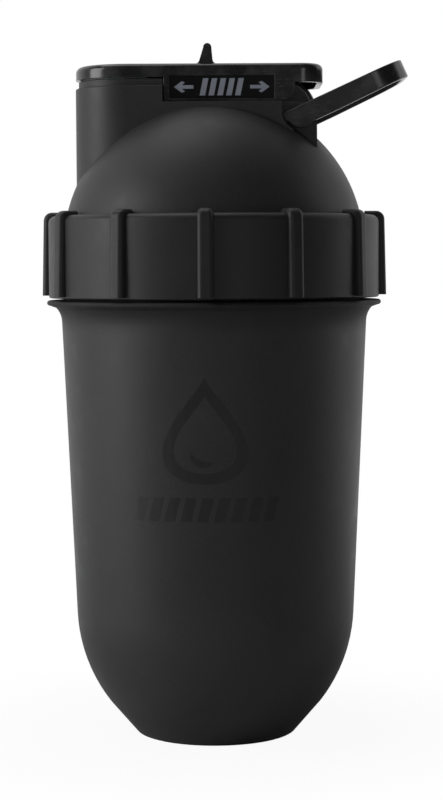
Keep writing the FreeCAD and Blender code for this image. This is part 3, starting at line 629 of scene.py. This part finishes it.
@dataclass
class Tumbler:
    """The tumbler and the figures printed on its front, tone on tone."""

    # Painted shade in the coating darkens the tumbler from 115 to 123 mm up, under the collar.
    coating: SoftTouch = SoftTouch("tumbler_soft_touch", painted_shade_from=115 * MM, painted_shade_to=123 * MM)
    print_ink: Ink = Ink("tone_ink", (0.0125, 0.0125, 0.0135), 0.40, specular=0.42)
    drop_middle: float = 90.2 * MM
    drop_width: float = 27.5 * MM
    drop_height: float = 29 * MM
    drop_stroke: float = 0.27
    drop_sag: float = 0.12
    glint_stroke: float = 1.5 * MM
    glint_reach: float = 0.15
    glint_drop: float = 0.17
    glint_start: float = math.radians(195)
    glint_sweep: float = math.radians(105)
    row_middle: float = 68.8 * MM
    row_length: float = 41 * MM
    bar_count: int = 9
    bar_height: float = 6.6 * MM
    bar_share: float = 0.66
    bar_slant: float = 1.7 * MM
    print_turn: float = math.radians(-93.4)
    proud: float = 0.025 * MM
    sunk: float = 0.03 * MM
    wall: BVHTree = field(init=False)
    outside: float = field(init=False)

    def __post_init__(self) -> None:
        """Keep the tumbler's wall, and a radius outside it, for placing the print."""
        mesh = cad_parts["tumbler_cup"].data
        corners = [vertex.co for vertex in mesh.vertices]
        self.wall = BVHTree.FromPolygons(corners, [tuple(face.vertices) for face in mesh.polygons])
        self.outside = 2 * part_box("tumbler_cup")[1].x

    def radius(self, turn: float, height: float) -> float:
        """Radius of the wall's outside.

        Args:
            turn: Direction from the axis, in radians.
            height: Height above the base.

        Returns:
            The distance from the axis.
        """
        outwards = Vector((math.cos(turn), math.sin(turn), 0))
        start = outwards * self.outside + Vector((0, 0, height))
        hit = self.wall.ray_cast(start, -outwards)[0]
        return math.hypot(hit.x, hit.y)

    def on_wall(self, across: float, up: float, face: bool) -> Vector:
        """A flat place wrapped onto the wall.

        Args:
            across: Distance along the wall from the print's middle.
            up: Height above the base.
            face: True on the print's face, False on its back.

        Returns:
            The point.
        """
        middle = self.radius(self.print_turn, up)
        turn = self.print_turn + across / middle
        radius = self.radius(turn, up) + (self.proud if face else -self.sunk)
        return Vector((radius * math.cos(turn), radius * math.sin(turn), up))

    def drop_ring(self, along: float, across: float) -> Flat:
        """The drop's outline as a band.

        Args:
            along: 0 to 1 around the drop.
            across: 0 on the band's inside, 1 on its outside.

        Returns:
            The flat place.
        """
        size = 1 - self.drop_stroke * (1 - across)
        x, y = droplet_edge(along, self.drop_width * size, self.drop_height * size)
        return x, self.drop_middle + y - self.drop_sag * self.drop_height * (1 - size)

    def glint(self, along: float, across: float) -> Flat:
        """A tapering arc inside the drop's foot.

        Args:
            along: 0 to 1 along the arc.
            across: 0 to 1 across it.

        Returns:
            The flat place.
        """
        angle = self.glint_start + self.glint_sweep * along
        stroke = self.glint_stroke * (0.25 + math.sin(math.pi * along))
        radius = self.glint_reach * self.drop_width + stroke * (across - 0.5)
        foot = self.drop_middle - self.glint_drop * self.drop_height
        return radius * math.cos(angle), foot + radius * math.sin(angle)

    def bar(self, index: int) -> Callable[[float, float], Flat]:
        """One bar of the row below the drop.

        Args:
            index: Number of the bar from the left.

        Returns:
            The bar's shape.
        """
        pitch = self.row_length / self.bar_count
        middle = (index - (self.bar_count - 1) / 2) * pitch
        left_foot, right_foot, right_top, left_top = slanted_bar(
            (middle, self.row_middle), pitch * self.bar_share, self.bar_height, self.bar_slant)

        def shape(along: float, across: float) -> Flat:
            """A place between the bar's corners."""
            foot = left_foot[0] + (right_foot[0] - left_foot[0]) * across
            top = left_top[0] + (right_top[0] - left_top[0]) * across
            return foot + (top - foot) * along, left_foot[1] + (left_top[1] - left_foot[1]) * along

        return shape

    def build(self) -> None:
        """Dress the tumbler and print its front."""
        dress("tumbler_cup", self.coating.make())
        ink = self.print_ink.make()
        figures = {"print_drop": Patch(self.drop_ring, 128, 6, closed=True),
                   "print_glint": Patch(self.glint, 36, 4)}
        for index in range(self.bar_count):
            figures[f"print_bar_{index + 1}"] = Patch(self.bar(index), 8, 6)
        for name, figure in figures.items():
            piece = figure.build(name, self.on_wall)
            piece.data.materials.append(ink)
            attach(piece, "cup")
            log.info("%s printed", name)


@dataclass
class Lid:
    """The domed lid, its spout block and the gasket below it."""

    coating: SoftTouch = SoftTouch("lid_soft_touch", cloud=17 * MM)
    gasket: Silicone = Silicone("gasket_silicone")

    def build(self) -> None:
        """Dress the lid and its gasket."""
        dress("dome_lid", self.coating.make())
        dress("rim_gasket", self.gasket.make())


@dataclass
class Collar:
    """The ribbed ring that screws the lid down."""

    coating: SoftTouch = SoftTouch("collar_soft_touch", (0.020, 0.020, 0.021), 0.49, cloud=12 * MM)

    def build(self) -> None:
        """Dress the collar."""
        dress("screw_collar", self.coating.make())


@dataclass
class Cap:
    """The sliding cap with its rail, mouth seal and two printed labels."""

    plastic: MouldedPlastic = MouldedPlastic("cap_gloss")
    rail: MouldedPlastic = MouldedPlastic("rail_gloss", roughness=0.24)
    film: LabelFilm = LabelFilm("label_film")
    seal: Silicone = Silicone("seal_silicone", (0.44, 0.46, 0.47))
    mark_ink: Ink = Ink("label_ink", (0.29, 0.315, 0.375), 0.45)
    mark_proud: float = 0.02 * MM
    mark_sunk: float = 0.02 * MM
    mark_height: float = 0.78
    bar_count: int = 5
    bar_share: float = 0.62
    arrow_length: float = 0.185
    arrow_height: float = 0.52
    arrow_margin: float = 0.045
    arrow_room: float = 1.32
    arrow_head: float = 0.40
    arrow_shaft: float = 0.155
    barb_back: float = 0.16
    barb_end: float = 0.78
    bar_slant: float = 0.16

    def arrow(self, left: float, length: float, middle: float, height: float, way: int) -> list[Flat]:
        """Corners of an arrow.

        Args:
            left: The arrow's left end.
            length: Its length.
            middle: Its height on the label.
            height: Height of its head.
            way: -1 where it points left, +1 where it points right.

        Returns:
            The corners in order.
        """
        tip = left if way < 0 else left + length
        shaft, head, half = self.arrow_shaft * height, self.arrow_head * length, height / 2
        back, end = head + self.barb_back * length, half * self.barb_end
        reach = [(0, 0), (head, half), (back, end), (head, shaft), (length, shaft),
                 (length, -shaft), (head, -shaft), (back, -end), (head, -half)]
        return [(tip - way * along, middle + up) for along, up in reach]

    def marks(self, width: float, height: float) -> dict[str, list[Flat]]:
        """The label's figures: an arrow at each end and slanted bars between them.

        Args:
            width: The label's width.
            height: The label's height.

        Returns:
            Corners by name, from the label's lower left corner.
        """
        middle = height / 2
        margin, length = self.arrow_margin * width, self.arrow_length * width
        tall = self.arrow_height * height
        figures = {"arrow_left": self.arrow(margin, length, middle, tall, -1),
                   "arrow_right": self.arrow(width - margin - length, length, middle, tall, 1)}
        start = margin + self.arrow_room * length
        pitch = (width - 2 * start) / self.bar_count
        for index in range(self.bar_count):
            centre = (start + (index + 0.5) * pitch, middle)
            figures[f"bar_{index + 1}"] = slanted_bar(
                centre, pitch * self.bar_share, self.mark_height * height, self.bar_slant * height)
        return figures

    def print_label(self, node: str, side: Side, ink: bpy.types.Material) -> None:
        """Print the figures on a label.

        Args:
            node: The label's node.
            side: The skirt that it sits on.
            ink: The ink.
        """
        low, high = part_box(node)
        face = low.y if side is Side.FRONT else high.y

        def place(across: float, up: float, front: bool) -> Vector:
            """A place on the label, seen from outside."""
            x = low.x + across if side is Side.FRONT else high.x - across
            away = self.mark_proud if front else -self.mark_sunk
            return Vector((x, face + side.value * away, low.z + up))

        for name, corners in self.marks(high.x - low.x, high.z - low.z).items():
            piece = prism(f"{side.name.lower()}_{name}", corners, place)
            piece.data.materials.append(ink)
            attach(piece, "cap")
        log.info("%s printed", node)

    def build(self) -> None:
        """Dress the cap, its rail and seal, and print both labels."""
        dress("slide_cap", self.plastic.make())
        dress("slide_rail", self.rail.make())
        dress("mouth_seal", self.seal.make())
        film, ink = self.film.make(), self.mark_ink.make()
        for node, side in (("label_front", Side.FRONT), ("label_back", Side.BACK)):
            dress(node, film)
            self.print_label(node, side, ink)


@dataclass
class CarryLoop:
    """The swinging loop."""

    plastic: MouldedPlastic = MouldedPlastic("loop_satin", (0.012, 0.012, 0.0125), 0.23, edge=0.3 * MM)

    def build(self) -> None:
        """Dress the loop."""
        dress("carry_loop", self.plastic.make())


# ---- studio ------------------------------------------------------------------------------------------

@dataclass(frozen=True)
class Lamp:
    """A rectangular soft light that faces the bottle."""

    name: str
    place: Colour
    width: float
    height: float
    watts: float

    def build(self, target: Vector) -> None:
        """Hang the lamp.

        Args:
            target: The point it faces.
        """
        data = bpy.data.lights.new(self.name, "AREA")
        data.shape = "RECTANGLE"
        data.size, data.size_y = self.width, self.height
        data.energy = self.watts
        lamp = bpy.data.objects.new(self.name, data)
        bpy.context.scene.collection.objects.link(lamp)
        lamp.location = self.place
        lamp.rotation_euler = (target - Vector(self.place)).to_track_quat("-Z", "Y").to_euler()


@dataclass
class Studio:
    """White studio: a pale floor, a bright wall behind, soft lamps and the camera."""

    lamps: tuple[Lamp, ...] = (
        Lamp("key", (-0.95, -0.25, 0.28), 0.50, 1.00, 7.6),
        Lamp("top", (-0.25, 0.10, 1.10), 0.60, 0.60, 2.2),
        Lamp("right", (0.95, 0.25, 0.30), 0.35, 0.90, 0.7),
        Lamp("gleam", (0.42, -1.45, 0.36), 0.30, 0.50, 0.9),
    )
    ambient: float = 0.095
    wall_light: float = 0.80
    wall_dark: float = 0.05
    floor_radius: float = 4.0
    floor_colour: Colour = (0.82, 0.82, 0.82)
    floor_grain: Colour = (0.78, 0.78, 0.78)
    glow_near: float = 0.94
    camera_distance: float = 598 * MM
    camera_height: float = 136.3 * MM
    camera_aside: float = 2.2 * MM
    pitch: float = math.radians(3.88)
    roll: float = math.radians(0.28)
    lens: float = 93.6

    def build_world(self) -> None:
        """White to the camera; a wall behind the bottle for reflections; an even glow otherwise."""
        world = bpy.data.worlds.new("studio")
        bpy.context.scene.world = world
        world.use_nodes = True
        recipe = Recipe(world.node_tree)
        camera, mirrored = recipe.ray("Camera"), recipe.ray("Glossy").either(recipe.ray("Transmission"))
        towards = recipe.along(recipe.node("ShaderNodeTexCoord", {}, {}, "Generated"), 1)
        wall = towards.smooth(-0.05, 0.55) * self.wall_light + self.wall_dark
        unseen = mirrored * wall + (1 - mirrored) * self.ambient
        strength = camera + (1 - camera) * unseen
        background = recipe.node("ShaderNodeBackground", {},
                                 {"Color": (1, 1, 1, 1), "Strength": strength})
        recipe.node("ShaderNodeOutputWorld", {}, {"Surface": background})

    def floor_material(self) -> bpy.types.Material:
        """Pale floor that brightens to white away from the bottle and keeps its shadow.

        Returns:
            The material.
        """
        material, recipe = new_material("studio_floor")
        place = recipe.place()
        away = recipe.node("ShaderNodeVectorMath", {"operation": "LENGTH"}, {0: place}, "Value")
        behind = recipe.along(place, 1).smooth(0.0, 0.4)
        mirrored = recipe.ray("Glossy").either(recipe.ray("Transmission")) * behind
        glow = recipe.ray("Camera") * (self.glow_near + away.smooth(0.03, 0.12) * (1 - self.glow_near))
        paper = recipe.mixed(recipe.noise(2 * MM, 2.0) * 0.2, self.floor_colour, self.floor_grain)
        diffuse = recipe.node("ShaderNodeBsdfDiffuse", {}, {"Color": paper})
        white = recipe.node("ShaderNodeEmission", {}, {"Strength": 1.0})
        surface = recipe.node("ShaderNodeMixShader", {},
                              {0: glow.either(mirrored), 1: diffuse, 2: white})
        recipe.node("ShaderNodeOutputMaterial", {}, {"Surface": surface})
        return material

    def build_floor(self) -> None:
        """Lay the floor below the bottle."""
        mesh = bmesh.new()
        bmesh.ops.create_circle(mesh, cap_ends=True, segments=96, radius=self.floor_radius)
        floor = finished_piece("studio_floor", mesh)
        floor.location.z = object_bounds()[0][2] - 0.05 * MM
        floor.data.materials.append(self.floor_material())
        floor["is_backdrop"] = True

    def build_camera(self) -> None:
        """Put the camera in front of the printed side."""
        data = bpy.data.cameras.new("camera")
        data.lens = self.lens
        data.sensor_width = 36.0
        data.clip_start, data.clip_end = 0.01, 20.0
        camera = bpy.data.objects.new("camera", data)
        bpy.context.scene.collection.objects.link(camera)
        camera.location = (self.camera_aside, -self.camera_distance, self.camera_height)
        camera.rotation_euler = (math.pi / 2 - self.pitch, self.roll, 0)
        bpy.context.scene.camera = camera

    def build(self) -> None:
        """Set the studio up around the bottle."""
        bpy.context.scene.view_settings.view_transform = "Standard"
        low, high = (Vector(corner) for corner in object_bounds())
        self.build_world()
        self.build_floor()
        for lamp in self.lamps:
            lamp.build((low + high) / 2)
        self.build_camera()
        log.info("studio set up")


def main() -> None:
    """Build every sub-assembly and the studio."""
    logging.basicConfig(level=logging.INFO, format="%(name)s: %(message)s")
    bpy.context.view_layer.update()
    for part in (Tumbler(), Lid(), Collar(), Cap(), CarryLoop()):
        part.build()
        log.info("%s done", type(part).__name__)
    Studio().build()


if __name__ == "__main__":
    main()
